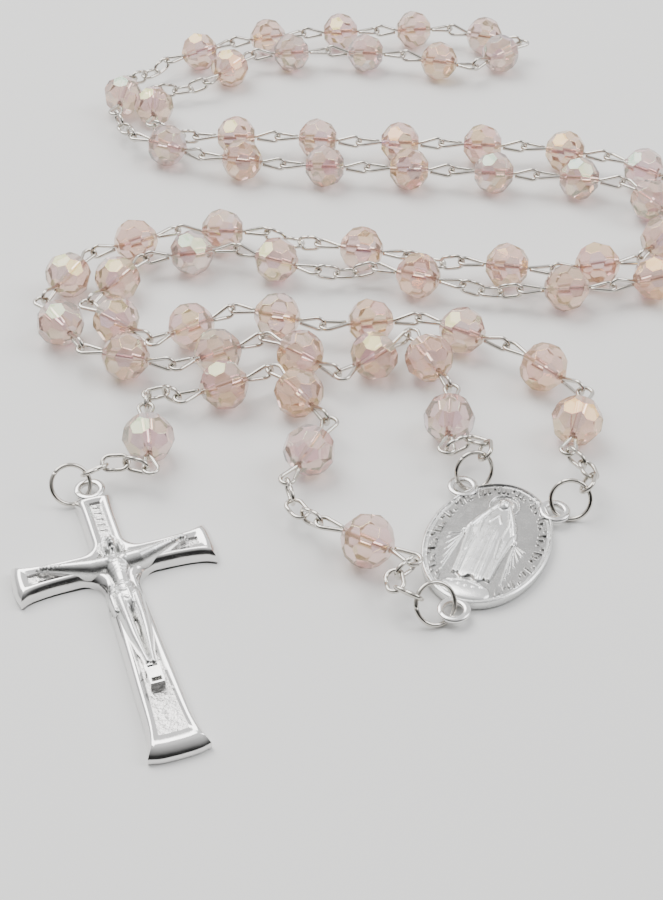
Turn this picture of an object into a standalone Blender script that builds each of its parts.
"""Five-decade rosary of faceted glass beads, lying in a doubled serpentine on a table.

Every bead sits on its own wire pin with a teardrop eye at each end, and the eyes are linked
one into the next. Short chains of three oval links set off the Our Father beads, jump rings
join the chains to the centre medal and to the crucifix. Lengths below are in millimetres.
The origin is the middle of the medal's flat back, on the table, with +Z up.
"""
import math

import bmesh
import bpy
from mathutils import Matrix, Vector

MM = 0.001

# Beads, wire and links
BEAD = 7.0              # across the flats of the bead
BEAD_SIDES = 8
BELT = 1.2              # half width of the belt of facets round the middle
BEAD_END = 3.3          # middle of the bead to its drilled end facet
END_RADIUS = 1.3        # radius of the drilled end facet
BORE = 0.55             # bore radius of the beads that turn on their pins
WIRE = 0.56             # wire of pins and chain links
RING_WIRE = 0.6         # wire of the jump rings
CLEAR = 0.06            # space between two linked wires
EYE_RADIUS = 1.04       # round end of an eye, to the middle of the wire
EYE_ANGLES = (-105, -35, 35, 105)       # corners of an eye's round end, from its tip
EYE_LENGTH = 4.16       # bead surface to the middle of the eye's tip wire
NECK = 0.4              # bead surface to the point where a free pin's eye closes
ROOT = 0.5              # depth inside the bead where a fixed pin's eye closes
LINK_LENGTH = 3.68      # between the tip wires of a chain link
LINK_RADIUS = 1.09      # round end of a chain link, to the middle of the wire
LINK_ANGLE = 30         # corners of a link's round end, each side of its tip
RING_RADIUS = 2.65      # jump ring, to the middle of the wire
RING_SIDES = 12
STEM_SIDES = 6
HOOK = WIRE + CLEAR
RING_HOOK = (WIRE + RING_WIRE) / 2 + CLEAR
BEAD_HEIGHT = BEAD / 2

# Medal
MEDAL_LONG = 23.6
MEDAL_WIDE = 16.4
MEDAL_THICK = 1.5
MEDAL_RIM = 0.9         # width of the raised rim
MEDAL_RELIEF = 0.35     # depth of the field below the rim
MEDAL_SIDES = 28
RIM_BEVEL = 0.2
ROBE = (2.7, 6.2, 12, -1.2)     # half width, half length, sides and middle, up the long axis
ROBE_LEVELS = [(0.5, 0), (1.4, 0.2), (1.8, 1.0)]    # heights, and insets from the full size
MEDAL_HEAD = (0.9, 1.1, 8, 5.8)
MEDAL_HEAD_LEVELS = [(0.6, 0), (1.6, 0.1), (1.9, 0.4)]
MEDAL_HEADING = 67.5    # heading of the medal's long axis, bottom to top
LUG_RADIUS = 2.15
LUG_HOLE = 1.12
LUG_SIDES = 12
LUG_LOW = 0.8           # underside of the lugs above the table
LUG_TOP = 1.5
LUG_HEIGHT = (LUG_LOW + LUG_TOP) / 2
TOP_LUG_SIDE = 6.45     # top lugs, each side of the long axis
TOP_LUG_UP = 9.0        # top lugs, up the long axis
LOW_LUG_DOWN = 13.4

# Crucifix, in its own frame: +Y to its top, +X to the reader's right
CROSS_LONG = 46.0
CROSS_WIDE = 26.5
CROSSBAR_DOWN = 13.1    # top edge to the middle of the crossbar
CROSS_THICK = 2.0
BEAM_TOP = 5.2
BEAM_MIDDLE = 5.0
BEAM_FOOT = 7.6
ARM_MIDDLE = 4.2
ARM_END = 6.7
CROSS_FILLET = 2.6
FILLET_STEPS = 3
TOP_FLARE = 4.5         # length over which the top of the beam narrows
END_FLARE = (3.0, 0.5)  # from an arm's end: where it starts to flare, and by how much it has
LOW_BEAM = (-14.0, 0.35)        # height where the beam has widened by the second number
FOOT_FLARE = (5.0, 0.8)         # from the foot: where it flares, and how much narrower it is
BEVEL = 0.6
EDGE = 0.2              # small bevel round the back
BAIL_UP = 1.6           # middle of the bail's hole above the top edge
BAIL_LOW = 0.95
BAIL_TOP = 1.65
BAIL_HEIGHT = (BAIL_LOW + BAIL_TOP) / 2
CROSS_HEADING = -70.8   # heading of the crucifix's foot
BODY = (1.2, 5.6, 10, -5.0)     # half width, half length, sides and middle, up the cross
BODY_LEVELS = [(0.7, 0), (2.4, 0.1), (3.0, 0.6)]
CROSS_HEAD = (1.0, 1.3, 8, 2.2)
CROSS_HEAD_LEVELS = [(0.8, 0), (2.8, 0.1), (3.2, 0.5)]
LEGS = (1.0, 6.6, 10, -15.5)
LEGS_LEVELS = [(1.1, 0), (2.3, 0.1), (2.7, 0.4)]
FOOT_REST = (1.6, 1.1, 8, -22.5)
FOOT_REST_LEVELS = [(1.2, 0), (2.6, 0.2)]
ARMS = [(-9.6, 0.7), (0, -1.0), (9.6, 0.7), (9.5, 1.5), (0, 0.9), (-9.5, 1.5)]
ARMS_LEVELS = [(0.9, 0), (2.5, 0.1)]

# First and last Hail Mary of each group of one strand, before the pair that closes the loop
HAIL_MARYS = ((1, 10), (12, 21), (23, 26))

# Where each joint of the rosary lies, from the medal outwards. A unit has its own length,
# so it starts where the one before it ends and points at its place in this list.
RIGHT_ROUTE = [
    (13, 7), (12.5, 15.5), (16, 28.5), (6.5, 39.5), (-6.5, 47), (-21, 45), (-35, 49.5),
    (-47, 41), (-58, 50.5), (-51, 63), (-36.5, 66.5), (-23, 60), (-13, 61), (0, 56), (10, 54.5),
    (23.5, 55.5), (37.5, 60), (45, 73), (40, 87), (28.5, 96), (14, 99.5), (-0.5, 100.5),
    (-15, 101), (-29.5, 103), (-44.5, 103), (-53, 107.5), (-53.5, 121), (-44, 124),
    (-36.5, 135), (-22, 137), (-7.5, 135.5), (6.5, 130.5)]
LEFT_ROUTE = [
    (0, 13), (-4, 16.5), (-3, 30), (-8.5, 43.5), (-18.5, 33), (-30, 42), (-43, 35),
    (-57, 39), (-65, 51), (-59.5, 64.5), (-46.5, 71.5), (-32, 71.5), (-22.5, 68), (-9, 64.5),
    (1, 62.5), (14.5, 60), (28.5, 63), (38, 74.5), (30, 87.5), (15.5, 89.5), (1, 91),
    (-13.5, 92), (-28, 93), (-42.5, 96), (-55.5, 103), (-60.5, 112.5), (-58.5, 126),
    (-51.5, 133.5), (-40, 141), (-26, 145), (-11, 146), (3.5, 147)]
PENDANT_ROUTE = [
    (-10, -12.5), (-10.5, -6), (-22, 1.5), (-26.5, 9.5), (-20.5, 22), (-29, 34.5), (-40.5, 28),
    (-44, 26.5), (-45, 13), (-60, 13)]

# How rings and chains lie, in degrees. Turns curl a chain's three links in plan, and rolls
# stand them on edge.
TOP_RING_LIFT = {"right": 35.0, "left": 40.0}
TOP_RING_ROLL = {"right": 54.0, "left": 60.0}
LOW_RING_LIFT = 28.0
LOW_RING_ROLL = -44.0
CROSS_RING_HEADING = 185.0
CROSS_RING_LIFT = 25.0
CROSS_RING_ROLL = -45.0
CROSS_RING_SWING = -50.0    # where the chain holds the ring, round from its far side
SAG = 14.0                  # slope of the outer links of a hanging chain
STRAIGHT = (0.0, 0.0, 0.0)
CHAIN_ROLLS = (90.0, 0.0, 90.0)
FIRST_CHAIN_TURNS = {"right": (-25.0, 0.0, 25.0), "left": (-60.0, 0.0, 60.0)}
MEDAL_CHAIN_TURNS = (50.0, 0.0, -50.0)
CHAIN_4_5_TURNS = (15.0, 0.0, -15.0)
CHAIN_1_2_TURNS = (-65.0, 0.0, 65.0)
CRUCIFIX_CHAIN_TURNS = (-18.0, 5.0, 38.0)
CRUCIFIX_CHAIN_ROLLS = (90.0, -25.0, 40.0)
CRUCIFIX_CHAIN_HEIGHT = 3.0     # height at which the last chain ends
SHARP = 30.0            # steeper edges than this are shaded sharp
SOLDER = 0.5            # half width of the lump that joins two linked wires of one node
NEARLY_UPRIGHT = 0.99   # an axis whose unit vector rises more than this counts as upright


def heading_vector(heading, lift=0.0):
    """Unit vector at a heading from +X and a lift above the table, both in degrees."""
    turn = math.radians(heading)
    rise = math.radians(lift)
    return Vector((math.cos(turn) * math.cos(rise), math.sin(turn) * math.cos(rise), math.sin(rise)))


def heading_of(start, end):
    return math.degrees(math.atan2(end[1] - start[1], end[0] - start[0]))


def across(heading, lift, roll):
    """Unit vector across a run at this heading and lift, rolled up from the horizontal."""
    side = heading_vector(heading + 90)
    up = heading_vector(heading, lift).cross(side)
    return side * math.cos(math.radians(roll)) + up * math.sin(math.radians(roll))


def rolls_from(wire, heading, lift):
    """Rolls of three links whose first one hangs square to a wire and last one stands on edge."""
    along = heading_vector(heading, lift)
    width = along.cross(wire)
    rise = width.dot(across(heading, lift, 90))
    reach = width.dot(across(heading, lift, 0))
    first = math.degrees(math.atan(rise / reach))
    return first, (first - math.copysign(90, first)) / 2, 90.0


# Shells: each is a closed surface, given as its corners and faces

def loop_tube(points, normal, radius):
    """Four-sided tube round a closed flat loop."""
    corners = []
    count = len(points)
    for index, point in enumerate(points):
        before = (point - points[index - 1]).normalized()
        after = (points[(index + 1) % count] - point).normalized()
        outward = normal.cross((before + after).normalized())
        half_turn = before.angle(after) / 2
        mitre = 1.0 / math.cos(half_turn)
        corners += [point + normal * radius, point + outward * radius * mitre,
                    point - normal * radius, point - outward * radius * mitre]
    faces = []
    for index in range(count):
        here = index * 4
        there = (index + 1) % count * 4
        for side in range(4):
            step = (side + 1) % 4
            faces.append((here + side, here + step, there + step, there + side))
    return corners, faces


def turned(middle, axis, profile, sides, closed=False):
    """Surface turned round an axis; the profile holds distances along it and radii."""
    side = axis.orthogonal().normalized()
    if abs(axis.z) < NEARLY_UPRIGHT:
        side = Vector((0, 0, 1)).cross(axis).normalized()
    up = axis.cross(side)
    corners = []
    for along, radius in profile:
        reach = radius / math.cos(math.pi / sides)
        for number in range(sides):
            angle = math.tau * (number + 0.5) / sides
            spoke = side * math.cos(angle) + up * math.sin(angle)
            corners.append(middle + axis * along + spoke * reach)
    rows = len(profile)
    faces = []
    for row in range(rows if closed else rows - 1):
        below = row * sides
        above = (row + 1) % rows * sides
        for number in range(sides):
            step = (number + 1) % sides
            faces.append((below + number, below + step, above + step, above + number))
    if not closed:
        faces.append(tuple(reversed(range(sides))))
        faces.append(tuple(range((rows - 1) * sides, rows * sides)))
    return corners, faces


def eye(tip, inward, width, length):
    """Teardrop eye: tip is the middle of its tip wire and inward points to its bead."""
    middle = tip + inward * EYE_RADIUS
    reach = EYE_RADIUS / math.cos(math.radians(EYE_ANGLES[2]))
    points = []
    for angle in EYE_ANGLES:
        swing = math.radians(angle)
        points.append(middle - inward * reach * math.cos(swing) + width * reach * math.sin(swing))
    points.append(tip + inward * length)
    return loop_tube(points, inward.cross(width), WIRE / 2)


def oval_link(tip, along, width):
    """Chain link from its first tip wire, LINK_LENGTH long."""
    points = []
    for start, outward in ((tip, along), (tip + along * LINK_LENGTH, -along)):
        middle = start + outward * LINK_RADIUS
        sideways = width if outward == along else -width
        points.append(middle + sideways * LINK_RADIUS)
        reach = LINK_RADIUS / math.cos(math.radians(LINK_ANGLE))
        for angle in (LINK_ANGLE, -LINK_ANGLE):
            swing = math.radians(angle)
            points.append(middle - outward * reach * math.cos(swing)
                          + sideways * reach * math.sin(swing))
        points.append(middle - sideways * LINK_RADIUS)
    return loop_tube(points, along.cross(width), WIRE / 2)


def jump_ring(hole, outward, tangent):
    """Round ring through a hole's middle; outward points from the hole to the ring's middle."""
    middle = hole + outward * RING_RADIUS
    reach = RING_RADIUS / math.cos(math.pi / RING_SIDES)
    points = []
    for number in range(RING_SIDES):
        swing = math.tau * (number + 0.5) / RING_SIDES
        points.append(middle - outward * reach * math.cos(swing) + tangent * reach * math.sin(swing))
    return loop_tube(points, outward.cross(tangent), RING_WIRE / 2)


def bead(middle, axis):
    profile = [(-BEAD_END, END_RADIUS), (-BELT, BEAD / 2), (BELT, BEAD / 2), (BEAD_END, END_RADIUS)]
    return turned(middle, axis, profile, BEAD_SIDES)


def bored_bead(middle, axis):
    profile = [(-BEAD_END, END_RADIUS), (-BELT, BEAD / 2), (BELT, BEAD / 2), (BEAD_END, END_RADIUS),
               (BEAD_END, BORE), (-BEAD_END, BORE)]
    return turned(middle, axis, profile, BEAD_SIDES, closed=True)


def stem(middle, axis):
    half = BEAD / 2 + NECK
    return turned(middle, axis, [(-half, WIRE / 2), (half, WIRE / 2)], STEM_SIDES)


def solder(middle):
    """Small lump that joins two linked wires which share one node."""
    corners = [middle + Vector(offset) * SOLDER for offset in
               ((1, 0, 0), (0, 1, 0), (-1, 0, 0), (0, -1, 0), (0, 0, 1), (0, 0, -1))]
    faces = [(0, 1, 4), (1, 2, 4), (2, 3, 4), (3, 0, 4), (1, 0, 5), (2, 1, 5), (3, 2, 5), (0, 3, 5)]
    return corners, faces


# Runs of linked units. A joint is (place, kind): "flat" is the round end of an eye that lies
# level, "upright" is the tip wire of a loop that stands on edge, "ring" is a jump ring's wire.

FIRST_TIP = {"flat": EYE_RADIUS - HOOK, "upright": -HOOK, "ring": -RING_HOOK}


def pin_run(joint, kind, heading, end_kind="flat", neck=-ROOT):
    """A bead on its pin from a joint: its eyes, and the joint at its far end."""
    along = heading_vector(heading)
    level = across(heading, 0, 0)
    on_edge = across(heading, 0, 90)
    first_tip = joint + along * FIRST_TIP[kind]
    middle = first_tip + along * (EYE_LENGTH + BEAD / 2)
    last_tip = middle + along * (BEAD / 2 + EYE_LENGTH)
    first_width = on_edge if kind == "flat" else level
    last_width = level if end_kind == "flat" else on_edge
    closing = EYE_LENGTH - neck
    wires = [eye(first_tip, along, first_width, closing), eye(last_tip, -along, last_width, closing)]
    end = last_tip - along * EYE_RADIUS if end_kind == "flat" else last_tip
    return {"wires": wires, "middle": middle, "along": along, "end": end}


def chain_run(joint, kind, heading, turns, end_height, sag, rolls):
    """Three linked oval links; turns curl them in plan and sag lets the middle one hang."""
    starts = [FIRST_TIP[kind], -HOOK, LINK_RADIUS - HOOK]
    ends = [LINK_LENGTH, LINK_LENGTH - LINK_RADIUS, LINK_LENGTH]
    length = sum(starts) + sum(ends)
    climb = math.degrees(math.asin((end_height - joint.z) / length))
    links = []
    blobs = []
    place = joint.copy()
    for number in range(3):
        turn = heading + turns[number]
        lift = climb + sag * (number - 1)
        along = heading_vector(turn, lift)
        tip = place + along * starts[number]
        links.append(oval_link(tip, along, across(turn, lift, rolls[number])))
        if number == 1:
            blobs.append(solder(place - along * HOOK / 2))
        if number == 2:
            blobs.append(solder(place + along * (LINK_RADIUS - HOOK / 2)))
        place = place + along * (starts[number] + ends[number])
    return {"wires": links + blobs, "end": place, "along": along}


def lift_pivot(joint, kind, along, along_before):
    """Place about which a unit folds up or down where it hangs in the unit before it."""
    if kind == "flat":
        return joint + along * EYE_RADIUS
    if kind == "upright":
        return joint - along_before * EYE_RADIUS
    return joint


def strand_plan():
    """Names and kinds of one strand's units, from the medal out."""
    plan = [("ring", "ring"), ("chain_00_01", "chain")]
    for first, last in HAIL_MARYS:
        if first > 1:
            father = first - 1
            plan.append((f"chain_{father - 1:02d}_{father:02d}", "chain"))
            plan.append((f"our_father_{father:02d}", "single"))
            plan.append((f"chain_{father:02d}_{father + 1:02d}", "chain"))
        plan += [(f"beads_{n:02d}_{n + 1:02d}", "pair") for n in range(first, last, 2)]
    return plan


def lug_place(number):
    """Middle of a lug's hole: 0 is the left top lug, 1 the right top lug, 2 the low lug."""
    up = heading_vector(MEDAL_HEADING)
    right = heading_vector(MEDAL_HEADING - 90)
    along, side = ((TOP_LUG_UP, -TOP_LUG_SIDE), (TOP_LUG_UP, TOP_LUG_SIDE), (-LOW_LUG_DOWN, 0))[number]
    return up * along + right * side + Vector((0, 0, LUG_HEIGHT))


def run_strand(side):
    """Units of one strand, each with its parts, pivot and kind of start."""
    route = RIGHT_ROUTE if side == "right" else LEFT_ROUTE
    hole = lug_place(1 if side == "right" else 0)
    aims = iter(route)
    units = []
    joint, kind, before = hole, "hole", None
    for name, sort in strand_plan():
        heading = heading_of(joint, next(aims))
        if sort == "ring":
            lift = TOP_RING_LIFT[side]
            outward = heading_vector(heading, lift)
            tangent = across(heading, lift, TOP_RING_ROLL[side])
            ring = jump_ring(hole, outward, tangent)
            rim = hole + heading_vector(heading) * (LUG_HOLE + LUG_RADIUS) / 2
            units.append({"name": name, "wires": [ring], "beads": [], "pivot": rim})
            joint, kind, before = hole + outward * 2 * RING_RADIUS, "ring", outward
            continue
        if sort == "chain":
            if kind == "ring":
                turns = FIRST_CHAIN_TURNS[side]
                rolls = rolls_from(tangent, heading + turns[0], 0)
                run = chain_run(joint, kind, heading, turns, BEAD_HEIGHT, 0.0, rolls)
            else:
                run = chain_run(joint, kind, heading, STRAIGHT, BEAD_HEIGHT, SAG, CHAIN_ROLLS)
            along = heading_vector(heading)
            units.append({"name": name, "wires": run["wires"], "beads": [],
                          "pivot": lift_pivot(joint, kind, along, before)})
            joint, kind, before = run["end"], "upright", run["along"]
            continue
        run = pin_run(joint, kind, heading)
        unit = {"name": name, "wires": run["wires"], "beads": [(run["middle"], run["along"])],
                "pivot": lift_pivot(joint, kind, run["along"], before)}
        joint, kind, before = run["end"], "flat", run["along"]
        if sort == "pair":
            heading = heading_of(joint, next(aims))
            run = pin_run(joint, kind, heading)
            unit["wires"] += run["wires"] + [solder(joint + run["along"] * (EYE_RADIUS - HOOK / 2))]
            unit["beads"].append((run["middle"], run["along"]))
            joint, before = run["end"], run["along"]
        units.append(unit)
    return units, joint


def meeting_point(first, first_reach, second, second_reach):
    """Level point at given distances from two others, on the right of first to second."""
    line = second - first
    gap = line.length
    along = (gap ** 2 + first_reach ** 2 - second_reach ** 2) / (2 * gap)
    aside = math.sqrt(first_reach ** 2 - along ** 2)
    direction = line.normalized()
    return first + direction * along + direction.cross(Vector((0, 0, 1))) * aside


def closing_unit(right_end, left_end):
    """The last two beads, which close the loop between the ends of the strands."""
    reach = FIRST_TIP["flat"] + 2 * EYE_LENGTH + BEAD
    corner = meeting_point(right_end, reach - EYE_RADIUS, left_end, reach + FIRST_TIP["flat"])
    out = pin_run(right_end, "flat", heading_of(right_end, corner))
    back = pin_run(out["end"], "flat", heading_of(corner, left_end), "upright")
    blob = solder(out["end"] + back["along"] * (EYE_RADIUS - HOOK / 2))
    return {"name": "end_beads_27", "wires": out["wires"] + back["wires"] + [blob],
            "beads": [(out["middle"], out["along"]), (back["middle"], back["along"])],
            "pivot": lift_pivot(right_end, "flat", out["along"], None)}


# Building the objects

def make_material(name, colour, roughness, metallic, transmission=0.0):
    material = bpy.data.materials.new(name)
    material.use_nodes = True
    shader = material.node_tree.nodes["Principled BSDF"]
    shader.inputs["Base Color"].default_value = (*colour, 1.0)
    shader.inputs["Roughness"].default_value = roughness
    shader.inputs["Metallic"].default_value = metallic
    shader.inputs["Transmission Weight"].default_value = transmission
    material.diffuse_color = (*colour, 1.0)
    return material


def frame_at(pivot, axis):
    """Matrix with its origin on the pivot and its X axis along the joint's axis."""
    first = axis.normalized()
    second = first.orthogonal().normalized()
    third = first.cross(second)
    matrix = Matrix((first, second, third)).transposed().to_4x4()
    matrix.translation = pivot
    return matrix


def mesh_of(name, shells, frame):
    """One mesh from shells given as (corners, faces, material number)."""
    into_frame = frame.inverted()
    mesh = bpy.data.meshes.new(name)
    build = bmesh.new()
    for corners, faces, slot in shells:
        spots = [build.verts.new(into_frame @ corner) for corner in corners]
        made = [build.faces.new([spots[index] for index in face]) for face in faces]
        for face in made:
            face.material_index = slot
        bmesh.ops.recalc_face_normals(build, faces=made)
    build.to_mesh(mesh)
    build.free()
    return mesh


def united(name, shells, frame, materials):
    """Boolean union of the overlapping shells, as one mesh."""
    body = bpy.data.objects.new(name + "_body", mesh_of(name + "_body", shells[:1], frame))
    rest = bpy.data.objects.new(name + "_rest", mesh_of(name + "_rest", shells[1:], frame))
    for part in (body, rest):
        bpy.context.collection.objects.link(part)
        for material in materials:
            part.data.materials.append(material)
    union = body.modifiers.new("union", "BOOLEAN")
    union.operation = "UNION"
    union.solver = "EXACT"
    union.use_self = True
    union.object = rest
    bpy.context.view_layer.update()
    evaluated = body.evaluated_get(bpy.context.evaluated_depsgraph_get())
    mesh = bpy.data.meshes.new_from_object(evaluated)
    mesh.name = name
    bpy.data.objects.remove(body)
    bpy.data.objects.remove(rest)
    return mesh


def add_node(name, shells, pivot, axis, parent, materials):
    """Object for one node, hung on its parent, with its origin and X axis on its joint."""
    frame = frame_at(pivot, axis)
    if len(shells) > 1:
        mesh = united(name, shells, frame, materials)
    else:
        mesh = mesh_of(name, shells, frame)
        for material in materials:
            mesh.materials.append(material)
    mesh.transform(Matrix.Scale(MM, 4))
    mesh.set_sharp_from_angle(angle=math.radians(SHARP))
    node = bpy.data.objects.new(name, mesh)
    bpy.context.collection.objects.link(node)
    frame.translation *= MM
    node.matrix_basis = frame
    if parent is not None:
        node.parent = parent
        node.matrix_parent_inverse = parent.matrix_world.inverted()
    bpy.context.view_layer.update()
    return node


def placed(shell, turn, place, slot=0):
    """A shell drawn in a flat part's own frame, turned on the table and moved."""
    corners, faces = shell
    spin = Matrix.Rotation(math.radians(turn), 3, "Z")
    return [spin @ corner + place for corner in corners], faces, slot


def stacked(outlines, heights):
    """Solid through outlines with the same number of corners, one above the other."""
    count = len(outlines[0])
    corners = []
    for outline, height in zip(outlines, heights):
        corners += [Vector((point.x, point.y, height)) for point in outline]
    faces = []
    for row in range(len(outlines) - 1):
        for index in range(count):
            step = (index + 1) % count
            faces.append((row * count + index, row * count + step,
                          (row + 1) * count + step, (row + 1) * count + index))
    top = (len(outlines) - 1) * count
    faces.append(tuple(reversed(range(count))))
    faces.append(tuple(range(top, top + count)))
    return corners, faces


def drawn_in(outline, inset):
    """Anticlockwise outline moved inwards by a small inset."""
    moved = []
    for index, point in enumerate(outline):
        before = (point - outline[index - 1]).normalized()
        after = (outline[(index + 1) % len(outline)] - point).normalized()
        tangent = (before + after).normalized()
        stretch = 1.0 / math.cos(before.angle(after) / 2)
        moved.append(point + Vector((-tangent.y, tangent.x, 0)) * inset * stretch)
    return moved


def slab(outline, levels):
    """Solid from one outline, drawn in by an inset at each height."""
    return stacked([drawn_in(outline, inset) for _, inset in levels], [height for height, _ in levels])


def raised_oval(half_wide, half_long, sides, middle_y, levels):
    """Solid of stacked ovals, each smaller than the full size by an inset."""
    outlines = []
    for _, inset in levels:
        outline = []
        for number in range(sides):
            angle = math.tau * (number + 0.5) / sides
            outline.append(Vector(((half_wide - inset) * math.cos(angle),
                                   (half_long - inset) * math.sin(angle) + middle_y, 0)))
        outlines.append(outline)
    return stacked(outlines, [height for height, _ in levels])


def lug(middle, radius, hole, low, top):
    """Flat washer round a hole."""
    half = (top - low) / 2
    profile = [(-half, hole), (-half, radius), (half, radius), (half, hole)]
    centre = Vector((middle.x, middle.y, (low + top) / 2))
    return turned(centre, Vector((0, 0, 1)), profile, LUG_SIDES, closed=True)


def medal_shells():
    """Oval disc with a raised rim, a standing figure in relief and three lugs."""
    levels = [(0, RIM_BEVEL), (RIM_BEVEL, 0), (MEDAL_THICK - RIM_BEVEL, 0), (MEDAL_THICK, RIM_BEVEL),
              (MEDAL_THICK, MEDAL_RIM), (MEDAL_THICK - MEDAL_RELIEF, MEDAL_RIM + RIM_BEVEL)]
    shells = [raised_oval(MEDAL_WIDE / 2, MEDAL_LONG / 2, MEDAL_SIDES, 0.0, levels),
              raised_oval(*ROBE, ROBE_LEVELS), raised_oval(*MEDAL_HEAD, MEDAL_HEAD_LEVELS)]
    for number in range(3):
        place = Matrix.Rotation(math.radians(90 - MEDAL_HEADING), 3, "Z") @ lug_place(number)
        shells.append(lug(place, LUG_RADIUS, LUG_HOLE, LUG_LOW, LUG_TOP))
    return [placed(shell, MEDAL_HEADING - 90, Vector((0, 0, 0))) for shell in shells]


def cross_outline():
    """Outline of the flared crucifix, anticlockwise from the right of its top edge."""
    top = CROSSBAR_DOWN
    foot = CROSSBAR_DOWN - CROSS_LONG
    right_top = [Vector((BEAM_TOP / 2, top, 0)), Vector((BEAM_MIDDLE / 2, top - TOP_FLARE, 0))]
    corner = Vector((BEAM_MIDDLE / 2 + CROSS_FILLET, ARM_MIDDLE / 2 + CROSS_FILLET, 0))
    for step in range(FILLET_STEPS + 1):
        angle = math.radians(180 + 90 * step / FILLET_STEPS)
        right_top.append(corner + CROSS_FILLET * Vector((math.cos(angle), math.sin(angle), 0)))
    right_top.append(Vector((CROSS_WIDE / 2 - END_FLARE[0], ARM_MIDDLE / 2 + END_FLARE[1], 0)))
    right_top.append(Vector((CROSS_WIDE / 2, ARM_END / 2, 0)))
    right_low = []
    for point in reversed(right_top[2:]):
        right_low.append(Vector((point.x, -point.y, 0)))
    right_low.append(Vector((BEAM_MIDDLE / 2 + LOW_BEAM[1], LOW_BEAM[0], 0)))
    right_low.append(Vector((BEAM_FOOT / 2 - FOOT_FLARE[1], foot + FOOT_FLARE[0], 0)))
    right_low.append(Vector((BEAM_FOOT / 2, foot, 0)))
    right = right_top + right_low
    left = [Vector((-point.x, point.y, 0)) for point in reversed(right)]
    return list(reversed(right + left))


def crucifix_shells(hole):
    """Bevelled cross with a bail and the figure in relief; hole is the middle of the bail."""
    cross = slab(cross_outline(), [(0, EDGE), (EDGE, 0), (CROSS_THICK - BEVEL, 0),
                                   (CROSS_THICK, BEVEL)])
    body = raised_oval(*BODY, BODY_LEVELS)
    head = raised_oval(*CROSS_HEAD, CROSS_HEAD_LEVELS)
    arms = slab([Vector((x, y, 0)) for x, y in ARMS], ARMS_LEVELS)
    legs = raised_oval(*LEGS, LEGS_LEVELS)
    rest = raised_oval(*FOOT_REST, FOOT_REST_LEVELS)
    bail_place = Vector((0, CROSSBAR_DOWN + BAIL_UP, 0))
    bail = lug(bail_place, LUG_RADIUS, LUG_HOLE, BAIL_LOW, BAIL_TOP)
    turn = CROSS_HEADING + 90
    middle = hole + heading_vector(CROSS_HEADING) * (CROSSBAR_DOWN + BAIL_UP)
    middle.z = 0
    return [placed(shell, turn, middle) for shell in (cross, body, head, arms, legs, rest, bail)]


def with_slot(shells, slot):
    return [(corners, faces, slot) for corners, faces in shells]


def add_strands(medal, glass, metal):
    """Both strands: hinges of the same rank share one line, so the strands fold together."""
    runs = {}
    ends = {}
    for side in ("right", "left"):
        runs[side], ends[side] = run_strand(side)
    parents = {"right": medal, "left": medal}
    for right_unit, left_unit in zip(runs["right"], runs["left"]):
        axis = left_unit["pivot"] - right_unit["pivot"]
        for side, unit in (("right", right_unit), ("left", left_unit)):
            beads = [bead(middle, along) for middle, along in unit["beads"]]
            shells = with_slot(beads, 1) + with_slot(unit["wires"], 0)
            parents[side] = add_node(f"{side}_{unit['name']}", shells, unit["pivot"], axis,
                                     parents[side], [metal, glass])
    closing = closing_unit(ends["right"], ends["left"])
    left_pivot = lift_pivot(ends["left"], "flat", -closing["beads"][1][1], None)
    beads = [bead(middle, along) for middle, along in closing["beads"]]
    add_node(closing["name"], with_slot(beads, 1) + with_slot(closing["wires"], 0),
             closing["pivot"], left_pivot - closing["pivot"], parents["right"], [metal, glass])


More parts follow.
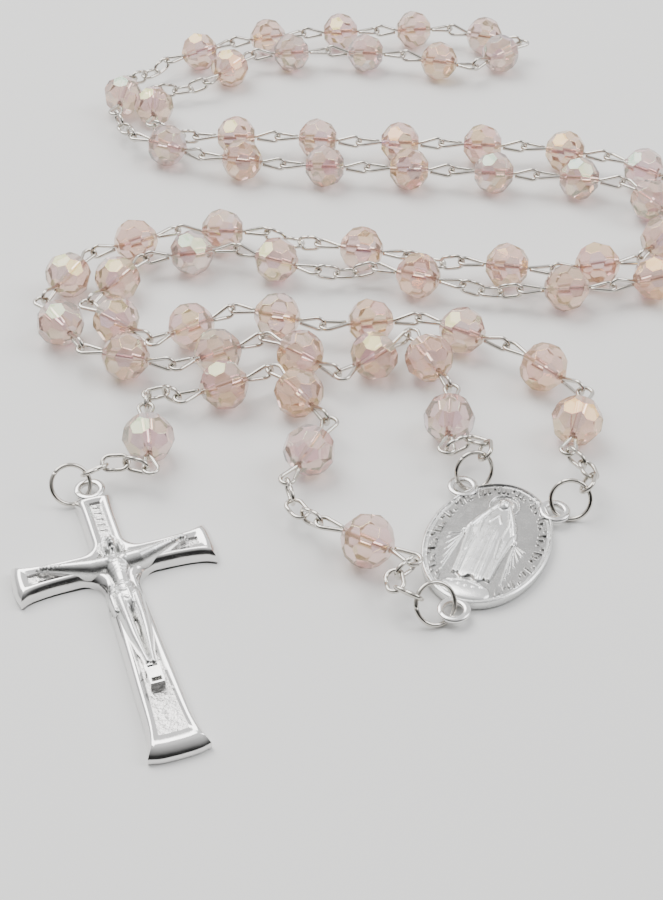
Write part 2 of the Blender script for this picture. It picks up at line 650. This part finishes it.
def add_pendant(medal, glass, metal):
    """Ring, chains, five beads that turn on their pins, ring and crucifix."""
    aims = iter(PENDANT_ROUTE)
    hole = lug_place(2)
    heading = heading_of(hole, next(aims))
    outward = heading_vector(heading, LOW_RING_LIFT)
    tangent = across(heading, LOW_RING_LIFT, LOW_RING_ROLL)
    ring = with_slot([jump_ring(hole, outward, tangent)], 0)
    rim = hole + heading_vector(heading) * (LUG_HOLE + LUG_RADIUS) / 2
    parent = add_node("medal_ring_low", ring, rim, across(heading, 0, 0), medal, [metal])
    joint, kind, before = hole + outward * 2 * RING_RADIUS, "ring", outward

    def add_chain(name, turns, end_height, sag, rolls, upward):
        nonlocal joint, kind, before, parent
        heading = heading_of(joint, next(aims))
        run = chain_run(joint, kind, heading, turns, end_height, sag, rolls)
        along = heading_vector(heading)
        pivot = lift_pivot(joint, kind, along, before)
        axis = across(heading, 0, 90 if upward else 0)
        parent = add_node(name, with_slot(run["wires"], 0), pivot, axis, parent, [metal])
        joint, kind, before = run["end"], "upright", run["along"]

    def add_bead(number):
        nonlocal joint, kind, before, parent
        heading = heading_of(joint, next(aims))
        run = pin_run(joint, kind, heading, neck=NECK)
        pivot = lift_pivot(joint, kind, run["along"], before)
        axis = across(heading, 0, 0)
        wires = run["wires"] + [stem(run["middle"], run["along"])]
        parent = add_node(f"pendant_pin_{number}", with_slot(wires, 0), pivot, axis, parent, [metal])
        add_node(f"pendant_bead_{number}", with_slot([bored_bead(run["middle"], run["along"])], 0),
                 run["middle"], run["along"], parent, [glass])
        joint, kind, before = run["end"], "flat", run["along"]

    rolls = rolls_from(tangent, heading_of(joint, PENDANT_ROUTE[1]) + MEDAL_CHAIN_TURNS[0], 0)
    add_chain("pendant_chain_5_medal", MEDAL_CHAIN_TURNS, BEAD_HEIGHT, 0.0, rolls, True)
    add_bead(5)
    add_chain("pendant_chain_4_5", CHAIN_4_5_TURNS, BEAD_HEIGHT, SAG, CHAIN_ROLLS, False)
    for number in (4, 3, 2):
        add_bead(number)
    add_chain("pendant_chain_1_2", CHAIN_1_2_TURNS, BEAD_HEIGHT, SAG, CHAIN_ROLLS, False)
    add_bead(1)
    add_chain("pendant_chain_crucifix", CRUCIFIX_CHAIN_TURNS, CRUCIFIX_CHAIN_HEIGHT, 0.0,
              CRUCIFIX_CHAIN_ROLLS, False)
    return parent, joint, before


def add_crucifix(joint, along, parent, metal, cast):
    """The ring held by the chain's last loop, and the crucifix that the ring holds by its bail."""
    wire_place = joint - along * RING_HOOK
    outward = heading_vector(CROSS_RING_HEADING, CROSS_RING_LIFT)
    tangent = across(CROSS_RING_HEADING, CROSS_RING_LIFT, CROSS_RING_ROLL)
    swing = math.radians(CROSS_RING_SWING)
    hole = (wire_place + outward * RING_RADIUS * (math.cos(swing) - 1)
            - tangent * RING_RADIUS * math.sin(swing))
    wire_run = outward * math.sin(swing) + tangent * math.cos(swing)
    shells = with_slot([jump_ring(hole, outward, tangent)], 0)
    ring = add_node("crucifix_ring", shells, wire_place, wire_run, parent, [metal])
    rim = hole + heading_vector(CROSS_RING_HEADING) * (LUG_HOLE + LUG_RADIUS) / 2
    axis = across(CROSS_RING_HEADING, 0, 0)
    add_node("crucifix", crucifix_shells(hole), rim, axis, ring, [cast])


def main():
    for item in list(bpy.data.objects):
        bpy.data.objects.remove(item)
    glass = make_material("rose_glass", (0.93, 0.72, 0.70), 0.05, 0.0, 0.6)
    wire = make_material("plated_wire", (0.72, 0.70, 0.66), 0.22, 1.0)
    silver = make_material("medal_silver", (0.74, 0.73, 0.71), 0.32, 1.0)
    cast = make_material("crucifix_silver", (0.76, 0.75, 0.74), 0.26, 1.0)
    medal = add_node("medal", medal_shells(), Vector((0, 0, 0)), Vector((1, 0, 0)), None, [silver])
    add_strands(medal, glass, wire)
    parent, joint, along = add_pendant(medal, glass, wire)
    add_crucifix(joint, along, parent, wire, cast)


main()
